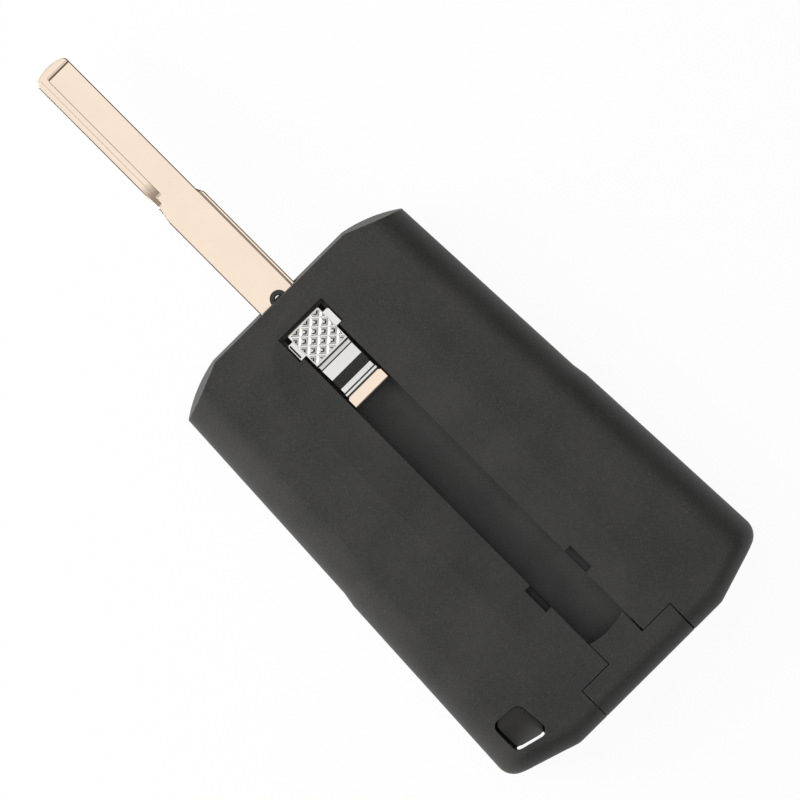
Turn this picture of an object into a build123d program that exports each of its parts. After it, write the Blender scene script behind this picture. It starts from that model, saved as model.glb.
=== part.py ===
from build123d import *
import math
import os

# Card-shaped key shell with a sliding blade, lying on its button side.
# Millimetres. The origin is the middle of the flat button side, +Z is the slide side, +Y is the blade's tip.

# Body outline
shell_front = 40.0
shell_rear = 40.25
front_flat_half = 13.8
front_corner_y = 36.05
front_corner_reach = 0.453
front_wall_flare = 0.5
front_corner_flare = 0.3
front_wall_bulge = 0.6
top_facet_bulge = 0.01
rear_flat_half = 15.2
rear_corner_y = 36.6
rear_corner_half = 26.8
rear_facet_radius = 3.0
grip_half_front = 22.947
grip_half_middle = 24.72
grip_step = 0.28
grip_step_length = 2.4
overcut = 1.0
rear_facing = 0.8

# Body section
case_height = 12.4
parting_height = 5.2
skin = 1.4
side_wall = 1.6
top_edge_radius = 5.2
bottom_edge_radius = 3.0
rear_edge_radius = 3.0
front_low_radius = 1.0
parting_break = 0.12
floor_skin = 1.5
lip_height = 0.9
lip_thickness = 0.8
lip_gap = 0.06
lip_root = 1.2

# Thumb dish round the slot
dish_half = 10.2
dish_depth = 0.45
dish_front = 27.0
dish_rear = 20.5

# Slot, front pocket, rear notch and mouth
slot_width = 7.46
pocket_front = 35.6
pocket_length = 4.73
pocket_step = 0.86
pocket_ledge_gap = 0.1
pocket_ledge_root = 1.2
pocket_ledge_thickness = 0.6
notch_front = 17.8
notch_length = 4.56
notch_step = 1.12
mouth_gap = 0.3

# End plug
plug_bar_length = 5.6
plug_bar_half = 9.5
plug_stem_length = 4.15
plug_bottom = 7.8
plug_gap = 0.12
plug_open_gap = 0.3
plug_hollow = 0.55

# Blade
blade_thickness = 2.2
blade_reach = 49.85
blade_cut_length = 27.6
blade_cut_left = 3.42
blade_cut_right = 2.81
blade_shank_left = 3.79
blade_shank_right = 3.42
blade_tail_half = 3.57
blade_web_half = 3.2
web_run = 0.3
tail_shoulder = 0.6
shoulder_left_run = 2.4
shoulder_right_start = 1.4
shoulder_right_run = 1.2
tip_radius = 0.9
tip_crown = 0.75
blade_edge_break = 0.2
shelf_depth = 0.35
outer_shelf_width = 0.96
inner_shelf_width = 0.83
outer_shelf_end = 0.4
inner_shelf_end = 1.6
cutter_radius = 6.0
tip_shelf_length = 1.6
shank_ledge_width = 0.42
shank_ledge_slope = 0.36
shank_ledge_depth = 0.5
tail_length = 1.95
bush_radius = 1.43
bush_bore_radius = 0.62
bush_offset = 0.1
bush_edge = 0.15

# Thumb pad, its tabs and its travel
pad_side_gap = 0.5
pad_front_gap = 0.7
pad_length = 6.2
pad_height = 1.3
pad_corner = 0.35
tab_length = 2.93
tab_thickness = 0.6
tab_overlap = 0.6
tab_clearance = 0.1
tab_corner = 0.25
tab_slot_x = 4.0
tab_slot_width = 0.18
tab_slot_length = 2.4
tab_slot_depth = 0.25
lock_rise = 0.55
press_gap = 0.05
knurl_step_x = 1.08
knurl_step_y = 0.95
knurl_shift = 0.17
knurl_reach = 4
knurl_share = 0.84
knurl_height = 0.28
knurl_flank = 58.0
pad_rim = 0.15
tongue_length = 1.3
tongue_thickness = 0.35
tongue_half = 2.5
tongue_gap = 0.2
post_radius = 0.4
post_gap = 0.08
post_spread = 2.2
post_height = 0.95
spring_well_width = 2.8
spring_well_length = 2.8
spring_well_depth = 0.8
spring_width = 2.4
spring_length = 2.6
spring_thickness = 0.12
spring_air = 0.03

# Saddle behind the thumb pad, and its two rivets
plate_thickness = 0.3
saddle_gap = 0.45
saddle_length = 6.4
saddle_side_bevel = 0.12
saddle_side_gap = 0.5
saddle_height = 1.4
saddle_bevel = 0.3
saddle_bevel_length = 0.6
saddle_flat_length = 2.2
saddle_slope_length = 1.85
saddle_slope_drop = 0.55
saddle_step_length = 0.85
saddle_step_drop = 0.15
saddle_foot_height = 0.5
saddle_groove = 0.12
rivet_radius = 0.75
rivet_head_radius = 1.3
rivet_head_height = 0.5
rivet_rise = 0.4
rivet_front_offset = 1.9
rivet_rear_offset = 1.6

# Slide tray, its screws and its rear bumper
tray_floor = 0.95
blade_gap = 0.1
blade_side_gap = 0.16
tray_wall = 1.9
tab_side_gap = 0.6
tray_end_wall = 1.2
tray_front_gap = 0.1
tray_ear_length = 6.0
tray_ear_reach = 2.6
tray_ear_thickness = 1.2
boss_height = 1.4
boss_offset = 9.4
boss_front = 24.0
boss_rear = 22.0
boss_radius = 2.2
screw_radius = 0.7
screw_hole_gap = 0.1
screw_head_radius = 1.3
screw_head_height = 0.8
screw_bite = 0.6
screw_slot_width = 0.35
screw_slot_depth = 0.35
bumper_thickness = 0.8
bumper_side_gap = 0.25
bumper_height = 2.1
bumper_gap = 0.2
slide_stop_gap = 0.2

# Ring hole in the rear left corner, its ramp and the bar that a ring wraps
ring_left = 23.0
ring_front_right = 17.7
ring_rear_right = 17.1
ring_front_left_y = 28.75
ring_front_right_y = 29.2
ring_rear_left_y = 34.35
ring_rear_right_y = 35.85
ring_corner_radius = 1.2
ring_bar_height = 2.4
ring_sliver = 0.2
ring_left_gap = 0.5
ring_right_gap = 0.12
ring_front_gap = 0.08
ramp_top = 10.5
ramp_radius = 7.6
ramp_start_y = 28.3
ramp_end_y = 35.6
hole_bottom = 3.0
corner_block_x = 15.6
corner_block_y = 27.2

# Buttons and keypad on the hidden side
button_width = 18.0
button_length = 9.0
button_pitch = 11.0
button_first_y = 28.0
button_recess = 0.25
button_corner = 2.0
button_edge = 0.3
button_window_gap = 0.2
button_flange = 0.7
button_flange_thickness = 0.6
button_travel = 0.4
button_air = 0.12
keypad_thickness = 0.8
keypad_width = 26.0
keypad_margin = 1.0
keypad_rib_width = 1.3
pip_radius = 1.4
pip_height = 1.1
pip_hole_gap = 0.5
lens_radius = 1.0
lens_y = 35.6
lens_recess = 0.1
lens_flange_radius = 1.6
lens_flange_height = 0.7

# Board tray, battery contacts and chip cap
board_tray_front = 33.6
board_tray_rear = 25.5
board_tray_half = 17.6
board_tray_wall = 1.2
board_tray_web = 0.8
board_tray_top_gap = 0.1
board_post_radius = 1.6
board_post_inset = 2.2
cell_window_radius = 7.0
cell_center_y = 12.5
clip_width = 4.0
clip_thickness = 0.25
clip_foot = 3.0
clip_reach = 5.5
clip_rise = 0.8
clip_spread = 12.5
chip_x = 14.5
chip_y = 6.0
chip_length = 13.0
chip_width = 7.0
chip_height = 3.2
chip_wall = 0.6
chip_edge_radius = 0.8

# Heights worked out from the stack of pieces, from the top skin down
skin_under = case_height - skin
tab_top = skin_under - tab_clearance
tab_bottom = tab_top - tab_thickness
pad_bottom = tab_bottom - tab_clearance
pad_top = pad_bottom + pad_height
plate_top = pad_bottom - press_gap
blade_top = plate_top - plate_thickness
blade_bottom = blade_top - blade_thickness
tray_top = blade_bottom - blade_gap
tray_bottom = tray_top - tray_floor
ear_top = skin_under - boss_height
ear_bottom = ear_top - tray_ear_thickness
bar_underside = case_height - ring_bar_height

# Heights on the button side, from the floor up
flange_top = floor_skin + button_flange_thickness
keypad_bottom = flange_top + button_travel + button_air
keypad_top = keypad_bottom + keypad_thickness
web_top = keypad_top + board_tray_web

# Slopes of the sides ahead of and behind the middle, and the corner where a front facet runs past its side
front_slope = (grip_half_middle - grip_half_front) / front_corner_y
rear_slope = (rear_corner_half - grip_step - grip_half_middle) / rear_corner_y
front_corner_half = grip_half_front + front_corner_reach

# Places along the slide, from the front, and half widths across it
slot_half = slot_width / 2
pocket_rear = pocket_front - pocket_length
pad_half = slot_half - pad_side_gap
pad_front = pocket_front - pad_front_gap
pad_rear = pad_front - pad_length
pad_middle = (pad_front + pad_rear) / 2
tab_rear = pocket_rear + tab_clearance
tab_front = tab_rear + tab_length
tab_half = slot_half + tab_overlap
saddle_half = slot_half - saddle_side_gap
saddle_front = pad_rear - saddle_gap
saddle_rear = saddle_front - saddle_length
blade_tail = saddle_rear - tail_length
blade_tip = shell_front + blade_reach
blade_cut_end = blade_tip - blade_cut_length
slide_travel = tab_front + notch_front + slide_stop_gap
bar_front = plug_bar_length - shell_rear
stem_front = bar_front + plug_stem_length
channel_half = blade_shank_left + blade_side_gap
upper_half = tab_half + tab_side_gap
tray_half = channel_half + tray_wall
tray_front = shell_front - side_wall - tray_front_gap
bumper_front = blade_tail - slide_travel - bumper_gap
tray_end = bumper_front - bumper_thickness
tray_rear = tray_end - tray_end_wall
keypad_length = 2 * button_pitch + button_length + 2 * keypad_margin
boss_places = [(x, y) for x in (-boss_offset, boss_offset) for y in (boss_front, -boss_rear)]
button_places = [(0, button_first_y - i * button_pitch) for i in range(3)]
rivet_places = [(0, saddle_front - rivet_front_offset), (0, saddle_rear + rivet_rear_offset)]
guide_places = [(0, pad_middle - post_spread), (0, pad_middle + post_spread)]


def grip_half(y):
    """Half width of the body at station y: straight sides that widen rearwards, with a step in the middle."""
    if y < 0:
        return grip_half_middle + grip_step - rear_slope * y
    return grip_half_middle - front_slope * y


def grip_form(inset, low, high):
    """Slab with the body's tapered sides and rounded long edges, its walls moved in by inset."""
    step_half = grip_step_length / 2
    front_station = shell_front + top_edge_radius
    rear_station = -shell_rear - top_edge_radius
    stations = (front_station, step_half, -step_half, rear_station)
    with BuildPart() as form:
        with BuildSketch(Plane.XY.offset(low)):
            with BuildLine():
                side = Polyline(*[(grip_half(y) - inset, y) for y in stations])
                Line((0, front_station), side @ 0)
                Line((0, rear_station), side @ 1)
                mirror(about=Plane.YZ)
            make_face()
        extrude(amount=high - low)
        long_edges = form.edges().filter_by(Plane.XY).filter_by(Axis.X, reverse=True)
        fillet(long_edges.group_by(Axis.Z)[-1], top_edge_radius - inset)
        long_edges = form.edges().filter_by(Plane.XY).filter_by(Axis.X, reverse=True)
        fillet(long_edges.group_by(Axis.Z)[0], bottom_edge_radius - inset)
    return form.part


def body_outline(front_y, bulge, inset, height):
    """Outline of the front and rear facets seen from above, wider than the sides, moved in by inset."""
    wide = rear_corner_half + top_edge_radius
    flare_share = (front_y - shell_front) / front_wall_flare
    corner_y = front_corner_y + front_corner_flare * flare_share
    front_angle = math.atan2(front_y - corner_y, front_corner_half - front_flat_half)
    rear_angle = math.atan2(shell_rear - rear_corner_y, rear_corner_half - rear_flat_half)
    front_normal = Vector(math.sin(front_angle), math.cos(front_angle))
    flat_end = Vector(front_flat_half - inset * math.tan(front_angle / 2), front_y - inset)
    corner = Vector(front_corner_half, corner_y) - front_normal * inset
    rear_end = Vector(rear_flat_half - inset * math.tan(rear_angle / 2), inset - shell_rear)
    wide_front = Vector(wide, corner.Y - (wide - corner.X) * math.tan(front_angle))
    wide_rear = Vector(wide, rear_end.Y + (wide - rear_end.X) * math.tan(rear_angle))
    bulged = (flat_end + corner) * 0.5 + front_normal * bulge
    with BuildSketch(Plane.XY.offset(height)) as outline:
        with BuildLine():
            Line((0, flat_end.Y), flat_end)
            ThreePointArc(flat_end, bulged, corner)
            Polyline(corner, wide_front, wide_rear, rear_end, (0, rear_end.Y))
            mirror(about=Plane.YZ)
        make_face()
    return outline.sketch


def bay_form(inset):
    """Space inside the walls: the body's form moved in by inset, less the solid ring corner."""
    margin = inset - side_wall
    with BuildPart() as space:
        add(grip_form(inset, floor_skin, skin_under))
        bay_outline = body_outline(shell_front, front_wall_bulge, inset, 0)
        extrude(bay_outline, amount=case_height, mode=Mode.INTERSECT)
        with BuildSketch():
            with Locations((-corner_block_x + margin, -corner_block_y + margin)):
                Rectangle(rear_corner_half, shell_rear, align=(Align.MAX, Align.MAX))
        extrude(amount=case_height, mode=Mode.SUBTRACT)
    return space.part


def lip_ring(outer_inset, low, high):
    """Ring that runs round inside the walls between two heights, with its outer face at outer_inset."""
    with BuildPart() as ring:
        add(bay_form(outer_inset))
        split(bisect_by=Plane.XY.offset(low), keep=Keep.TOP)
        split(bisect_by=Plane.XY.offset(high), keep=Keep.BOTTOM)
        add(bay_form(side_wall + lip_gap + lip_thickness), mode=Mode.SUBTRACT)
    return ring.part


def dish_section(y, keep_half):
    """Section of the thumb dish at station y: its full arc, or the right half of it."""
    with BuildSketch(Plane.XZ.offset(-y)) as section:
        with BuildLine():
            ThreePointArc((-dish_half, case_height), (0, case_height - dish_depth), (dish_half, case_height))
            Line((dish_half, case_height), (-dish_half, case_height))
        make_face()
        if keep_half:
            split(bisect_by=Plane.YZ, keep=Keep.TOP)
    return section.sketch


def ring_outline(left_gap, right_gap, front_gap, rear_gap, height):
    """Slanted outline of the ring hole seen from above, moved in by a gap on each side."""
    with BuildSketch(Plane.XY.offset(height)) as outline:
        with BuildLine():
            Polyline(
                (-ring_left + left_gap, -ring_front_left_y - front_gap),
                (-ring_front_right - right_gap, -ring_front_right_y - front_gap),
                (-ring_rear_right - right_gap, -ring_rear_right_y + rear_gap),
                (-ring_left + left_gap, -ring_rear_left_y + rear_gap),
                close=True,
            )
        make_face()
        fillet(outline.vertices(), ring_corner_radius)
    return outline.sketch


def press_button(place):
    """Press button: a cap that fills its window and a flange inside that keeps it in."""
    with BuildPart() as button:
        with BuildSketch(Plane.XY.offset(button_recess)):
            with Locations(place):
                RectangleRounded(button_width, button_length, button_corner)
        extrude(amount=floor_skin - button_recess)
        chamfer(button.faces().sort_by(Axis.Z)[0].edges(), button_edge)
        with BuildSketch(Plane.XY.offset(floor_skin)):
            with Locations(place):
                Rectangle(button_width + 2 * button_flange, button_length + 2 * button_flange)
        extrude(amount=button_flange_thickness)
    return button.part


def battery_clip(side):
    """Bent contact spring on one side of the cell's window, with its arm rising over the window."""
    foot_x = side * clip_spread
    bend_x = foot_x - side * clip_foot
    end_x = bend_x - side * clip_reach
    low = web_top
    high = web_top + clip_rise
    with BuildPart() as clip:
        with BuildSketch(Plane.XZ.offset(cell_center_y - clip_width / 2)):
            with BuildLine():
                Polyline(
                    (foot_x, low),
                    (bend_x, low),
                    (end_x, high),
                    (end_x, high + clip_thickness),
                    (bend_x, low + clip_thickness),
                    (foot_x, low + clip_thickness),
                    close=True,
                )
            make_face()
        extrude(amount=clip_width)
    return clip.part


# Front and rear facets: upright below the parting line, leaning in above it at the front
with BuildPart() as facets:
    flared_front = shell_front + front_wall_flare
    low_outline = body_outline(flared_front, front_wall_bulge, 0, 0)
    extrude(low_outline, amount=parting_height)
    middle_outline = body_outline(flared_front, front_wall_bulge, 0, parting_height)
    top_outline = body_outline(shell_front, top_facet_bulge, 0, case_height)
    loft(sections=[middle_outline, top_outline], ruled=True)

# Outer form that both covers share: the rounded slab cut by the facets, with a soft rear edge
with BuildPart() as outer_form:
    add(grip_form(0, 0, case_height))
    add(facets.part, mode=Mode.INTERSECT)
    upright = outer_form.edges().filter_by(Axis.Z)
    at_rear = upright.filter_by_position(Axis.Y, -shell_rear - overcut, overcut - shell_rear)
    fillet(at_rear, rear_facet_radius)
    rear_faces = outer_form.faces().filter_by(lambda face: face.normal_at().Y < -rear_facing)
    seam_reach = rear_flat_half + rear_facet_radius
    seams = outer_form.edges().filter_by(Axis.Z).filter_by_position(Axis.X, -seam_reach, seam_reach)
    fillet(rear_faces.edges() - seams, rear_edge_radius)

# Thumb dish: a shallow trough along the slot
with BuildPart() as dish:
    extrude(dish_section(dish_front, False), amount=dish_front + dish_rear)
    revolve(dish_section(dish_front, True), axis=Axis((0, dish_front, 0), (0, 0, 1)))
    revolve(dish_section(-dish_rear, True), axis=Axis((0, -dish_rear, 0), (0, 0, 1)))

# Ring hole, straight down from the slide side
with BuildPart() as ring_hole:
    extrude(ring_outline(0, 0, 0, 0, hole_bottom), amount=case_height)

# Way out for a ring, under the bar and through the rear wall and the floor
with BuildPart() as ring_exit:
    with BuildSketch(Plane.XY.offset(bar_underside)):
        with BuildLine():
            Polyline(
                (-ring_left, -ring_rear_left_y + ring_sliver),
                (-ring_rear_right, -ring_rear_right_y + ring_sliver),
                (-ring_rear_right, -shell_rear - overcut),
                (-ring_left, -shell_rear - overcut),
                close=True,
            )
        make_face()
    extrude(amount=-case_height)

# Ramp of the ring hole: its top curves down towards the rear
with BuildPart() as ramp:
    ramp_gaps = (ring_left_gap, ring_right_gap, ring_front_gap, ring_sliver)
    extrude(ring_outline(*ramp_gaps, floor_skin), amount=case_height)
    with BuildSketch(Plane.YZ):
        ramp_sweep = math.degrees(math.asin((ramp_end_y - ramp_start_y) / ramp_radius))
        with BuildLine():
            crown = CenterArc((-ramp_start_y, ramp_top - ramp_radius), ramp_radius, 90, ramp_sweep)
            Polyline(crown @ 1, (-ramp_end_y, 0), (-ramp_start_y, 0), crown @ 0)
        make_face()
    extrude(amount=-rear_corner_half, mode=Mode.INTERSECT)

os.makedirs("parts", exist_ok=True)

# Back cover: the slide side of the case, with the slot, pocket, notch, mouth and screw bosses
with BuildPart() as back_cover:
    add(outer_form.part)
    split(bisect_by=Plane.XY.offset(parting_height), keep=Keep.TOP)
    chamfer(back_cover.faces().sort_by(Axis.Z)[0].edges(), parting_break)
    add(dish.part, mode=Mode.SUBTRACT)
    add(bay_form(side_wall), mode=Mode.SUBTRACT)
    with BuildSketch(Plane.XY.offset(ear_top)):
        with Locations(*boss_places):
            Circle(boss_radius)
    extrude(amount=boss_height)
    with BuildSketch(Plane.XY.offset(ear_top)):
        with Locations(*boss_places):
            Circle(screw_radius)
    extrude(amount=boss_height + screw_bite, mode=Mode.SUBTRACT)
    with BuildSketch(Plane.XY.offset(skin_under)):
        with Locations((0, pocket_front)):
            Rectangle(slot_width, pocket_front - bar_front, align=(Align.CENTER, Align.MAX))
            Rectangle(slot_width + 2 * pocket_step, pocket_length, align=(Align.CENTER, Align.MAX))
        with Locations((0, -notch_front)):
            Rectangle(slot_width + 2 * notch_step, notch_length, align=(Align.CENTER, Align.MAX))
    extrude(amount=skin, mode=Mode.SUBTRACT)
    with BuildSketch(Plane.XY.offset(skin_under)):
        pocket_ledge_rear = pad_front + pocket_ledge_gap
        with Locations((0, pocket_ledge_rear)):
            pocket_ledge_length = pocket_front + pocket_ledge_root - pocket_ledge_rear
            Rectangle(2 * (upper_half - pocket_ledge_gap), pocket_ledge_length, align=(Align.CENTER, Align.MIN))
    extrude(amount=-pocket_ledge_thickness)
    with BuildSketch(Plane.XY.offset(plug_bottom)):
        with Locations((0, bar_front)):
            Rectangle(2 * plug_bar_half, plug_bar_length + overcut, align=(Align.CENTER, Align.MAX))
    extrude(amount=case_height, mode=Mode.SUBTRACT)
    with BuildSketch(Plane.XZ.offset(-shell_front - side_wall)):
        with Locations((0, tray_top)):
            mouth_height = blade_thickness + blade_gap + mouth_gap
            Rectangle(2 * channel_half, mouth_height, align=(Align.CENTER, Align.MIN))
    extrude(amount=2 * side_wall + overcut, mode=Mode.SUBTRACT)
    add(ring_hole.part, mode=Mode.SUBTRACT)
    add(ring_exit.part, mode=Mode.SUBTRACT)

back_cover.part.label = "back_cover"
export_step(back_cover.part, "parts/back_cover.step")

# Front cover: the button side, with its locating lip, windows, ribs, posts and the ramp
with BuildPart() as front_cover:
    add(outer_form.part)
    split(bisect_by=Plane.XY.offset(parting_height), keep=Keep.BOTTOM)
    low_edges = front_cover.faces().sort_by(Axis.Z)[0].edges()
    fillet(low_edges.filter_by_position(Axis.Y, front_corner_y, shell_front + overcut), front_low_radius)
    chamfer(front_cover.faces().sort_by(Axis.Z)[-1].edges(), parting_break)
    add(bay_form(side_wall), mode=Mode.SUBTRACT)
    add(lip_ring(side_wall + lip_gap, parting_height - lip_root, parting_height + lip_height))
    add(lip_ring(side_wall - lip_gap, parting_height - lip_root, parting_height))
    add(ring_hole.part, mode=Mode.SUBTRACT)
    add(ramp.part)
    add(ring_exit.part, mode=Mode.SUBTRACT)
    with BuildSketch():
        with Locations(*button_places):
            RectangleRounded(
                button_width + 2 * button_window_gap,
                button_length + 2 * button_window_gap,
                button_corner + button_window_gap,
            )
        with Locations((0, lens_y)):
            Circle(lens_radius)
    extrude(amount=floor_skin, mode=Mode.SUBTRACT)
    with BuildSketch(Plane.XY.offset(floor_skin)):
        rib_x = (keypad_width - keypad_rib_width) / 2
        with Locations((-rib_x, button_places[1][1]), (rib_x, button_places[1][1])):
            Rectangle(keypad_rib_width, keypad_length)
    extrude(amount=keypad_bottom - floor_skin)
    with BuildSketch(Plane.XY.offset(floor_skin)):
        post_x = board_tray_half - board_post_inset
        front_post_y = board_tray_front - board_post_inset
        rear_post_y = board_post_inset - board_tray_rear
        with Locations(*[(x, y) for x in (-post_x, post_x) for y in (front_post_y, rear_post_y)]):
            Circle(board_post_radius)
    extrude(amount=keypad_top - floor_skin)

front_cover.part.label = "front_cover"
export_step(front_cover.part, "parts/front_cover.step")

# End plug's bar and stem before they are cut to the body's outer form
with BuildPart() as plug_blank:
    with BuildSketch(Plane.XY.offset(plug_bottom)):
        with BuildLine():
            Polyline(
                (plug_gap - plug_bar_half, bar_front - plug_gap),
                (plug_bar_half - plug_gap, bar_front - plug_gap),
                (plug_bar_half - plug_open_gap, -shell_rear - overcut),
                (plug_gap - plug_bar_half, -shell_rear - overcut),
                close=True,
            )
        make_face()
    extrude(amount=case_height)
    with BuildSketch(Plane.XY.offset(skin_under)):
        left = plug_gap - slot_half
        right = slot_half - plug_open_gap
        with BuildLine():
            ThreePointArc((left, stem_front), ((left + right) / 2, stem_front - plug_hollow), (right, stem_front))
            root = bar_front - overcut
            Polyline((right, stem_front), (right, root), (left, root), (left, stem_front))
        make_face()
    extrude(amount=case_height)

# End plug: T-shaped insert that closes the rear of the slot
with BuildPart() as end_plug:
    add(outer_form.part)
    add(dish.part, mode=Mode.SUBTRACT)
    add(plug_blank.part, mode=Mode.INTERSECT)

end_plug.part.label = "end_plug"
export_step(end_plug.part, "parts/end_plug.step")

# Slide tray: channel that the blade runs in, screwed up under the skin by four ears
with BuildPart() as slide_tray:
    with BuildSketch(Plane.XY.offset(tray_bottom)):
        with Locations((0, tray_front)):
            Rectangle(2 * tray_half, tray_front - tray_rear, align=(Align.CENTER, Align.MAX))
    extrude(amount=skin_under - tray_bottom)
    with BuildSketch(Plane.XY.offset(tray_top)):
        with Locations((0, tray_front)):
            Rectangle(2 * channel_half, tray_front - tray_end, align=(Align.CENTER, Align.MAX))
    extrude(amount=skin_under - tray_top, mode=Mode.SUBTRACT)
    with BuildSketch(Plane.XY.offset(pad_bottom)):
        with Locations((0, tray_front)):
            Rectangle(2 * upper_half, tray_front - tray_end, align=(Align.CENTER, Align.MAX))
    extrude(amount=skin_under - pad_bottom, mode=Mode.SUBTRACT)
    ear_inner = (tray_half + channel_half) / 2
    ear_outer = boss_offset + tray_ear_reach
    ear_x = (ear_inner + ear_outer) / 2
    with BuildSketch(Plane.XY.offset(ear_bottom)):
        with Locations(*[(x, y) for x in (-ear_x, ear_x) for y in (boss_front, -boss_rear)]):
            Rectangle(ear_outer - ear_inner, tray_ear_length)
        with Locations(*boss_places):
            Circle(screw_radius + screw_hole_gap, mode=Mode.SUBTRACT)
    extrude(amount=tray_ear_thickness)

slide_tray.part.label = "slide_tray"
export_step(slide_tray.part, "parts/slide_tray.step")

# Tray screws, four alike, with a cross slot in each head
with BuildPart() as tray_screws:
    with BuildSketch(Plane.XY.offset(ear_bottom)):
        with Locations(*boss_places):
            Circle(screw_radius)
    extrude(amount=tray_ear_thickness + boss_height + screw_bite)
    with BuildSketch(Plane.XY.offset(ear_bottom)):
        with Locations(*boss_places):
            Circle(screw_head_radius)
    extrude(amount=-screw_head_height)
    with BuildSketch(Plane.XY.offset(ear_bottom - screw_head_height)):
        with Locations(*boss_places):
            Rectangle(screw_head_radius, screw_slot_width)
            Rectangle(screw_slot_width, screw_head_radius)
    extrude(amount=screw_slot_depth, mode=Mode.SUBTRACT)

tray_screws.part.label = "tray_screws"
export_step(tray_screws.part, "parts/tray_screws.step")

# Rear bumper: rubber stop that the blade's tail meets when it is slid in
with BuildPart() as rear_bumper:
    with BuildSketch(Plane.XY.offset(tray_top)):
        with Locations((0, tray_end)):
            bumper_half = channel_half - bumper_side_gap
            Rectangle(2 * bumper_half, bumper_thickness, align=(Align.CENTER, Align.MIN))
    extrude(amount=bumper_height)

rear_bumper.part.label = "rear_bumper"
export_step(rear_bumper.part, "parts/rear_bumper.step")

# Key blade: shank and tail in one piece, with two milled shelves and a lowered tip on each face
with BuildPart() as key_blade:
    blade_axis = (blade_cut_right - blade_cut_left) / 2
    blade_cut_half = (blade_cut_right + blade_cut_left) / 2
    ledge_front = blade_cut_end - shoulder_right_start
    with BuildSketch(Plane.XY.offset(blade_bottom)) as blade_outline:
        with BuildLine():
            left_side = Polyline(
                (-blade_tail_half, blade_tail),
                (-blade_tail_half, saddle_rear - web_run),
                (-blade_web_half, saddle_rear),
                (-blade_web_half, pad_front),
                (-blade_shank_left, pad_front + tail_shoulder),
                (-blade_shank_left, blade_cut_end - shoulder_left_run),
                (-blade_cut_left, blade_cut_end),
                (-blade_cut_left, blade_tip - tip_crown),
            )
            right_side = Polyline(
                (blade_cut_right, blade_tip - tip_crown),
                (blade_cut_right, ledge_front),
                (blade_shank_right, ledge_front - shoulder_right_run),
                (blade_shank_right, pad_front + tail_shoulder),
                (blade_web_half, pad_front),
                (blade_web_half, saddle_rear),
                (blade_tail_half, saddle_rear - web_run),
                (blade_tail_half, blade_tail),
            )
            ThreePointArc(left_side @ 1, (blade_axis, blade_tip), right_side @ 0)
            Line(right_side @ 1, left_side @ 0)
        make_face()
        fillet(blade_outline.vertices().group_by(Axis.Y)[-1], tip_radius)
    extrude(amount=blade_thickness)
    chamfer(key_blade.faces().filter_by(Axis.Z).edges(), blade_edge_break)
    shelves = [
        (outer_shelf_width, outer_shelf_end, 2 * shelf_depth),
        (outer_shelf_width + inner_shelf_width, inner_shelf_end, shelf_depth),
    ]
    for face_side, face_height in ((1, blade_top), (-1, blade_bottom)):
        for shelf_width, shelf_end, depth in shelves:
            cutter_swing = math.acos(1 - depth / cutter_radius)
            run_end = blade_cut_end + shelf_end
            run_start = run_end + cutter_radius * math.sin(cutter_swing)
            half_way = run_start - cutter_radius * math.sin(cutter_swing / 2)
            half_rise = cutter_radius * (1 - math.cos(cutter_swing / 2))
            shelf_height = face_height - face_side * depth
            with BuildSketch(Plane.YZ.offset(blade_axis - face_side * blade_cut_half - shelf_width)):
                with BuildLine():
                    ThreePointArc(
                        (run_end, face_height),
                        (half_way, shelf_height + face_side * half_rise),
                        (run_start, shelf_height),
                    )
                    Polyline(
                        (run_start, shelf_height),
                        (blade_tip, shelf_height),
                        (blade_tip, face_height),
                        (run_end, face_height),
                    )
                make_face()
            extrude(amount=2 * shelf_width, mode=Mode.SUBTRACT)
        with BuildSketch(Plane.XY.offset(face_height)):
            with Locations((blade_axis, blade_tip)):
                Rectangle(3 * blade_cut_half, tip_shelf_length, align=(Align.CENTER, Align.MAX))
        extrude(amount=-face_side * shelf_depth, mode=Mode.SUBTRACT)
    with BuildSketch(Plane.XZ.offset(-ledge_front)):
        ledge_in = blade_shank_right - shank_ledge_width
        ledge_out = blade_shank_right + shank_ledge_width
        ledge_height = blade_top - shank_ledge_depth
        with BuildLine():
            Polyline(
                (ledge_in - shank_ledge_slope, blade_top),
                (ledge_in, ledge_height),
                (ledge_out, ledge_height),
                (ledge_out, blade_top),
                close=True,
            )
        make_face()
    extrude(amount=ledge_front - pad_front - tail_shoulder, mode=Mode.SUBTRACT)
    with BuildSketch(Plane.XY.offset(blade_bottom)):
        with Locations(*rivet_places):
            Circle(rivet_radius)
        with Locations((-bush_offset, shell_front)):
            Circle(bush_radius)
    extrude(amount=blade_thickness, mode=Mode.SUBTRACT)
    with BuildSketch(Plane.XY.offset(blade_bottom)):
        with Locations(*rivet_places):
            Circle(rivet_head_radius)
    extrude(amount=rivet_head_height, mode=Mode.SUBTRACT)

key_blade.part.label = "key_blade"
export_step(key_blade.part, "parts/key_blade.step")

# Blade bush: black ring in the blade's hole
with BuildPart() as blade_bush:
    with BuildSketch(Plane.XY.offset(blade_bottom)):
        with Locations((-bush_offset, shell_front)):
            Circle(bush_radius)
            Circle(bush_bore_radius, mode=Mode.SUBTRACT)
    extrude(amount=blade_thickness)
    chamfer(blade_bush.edges().filter_by(GeomType.CIRCLE).sort_by(SortBy.RADIUS)[:2], bush_edge)

blade_bush.part.label = "blade_bush"
export_step(blade_bush.part, "parts/blade_bush.step")

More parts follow.
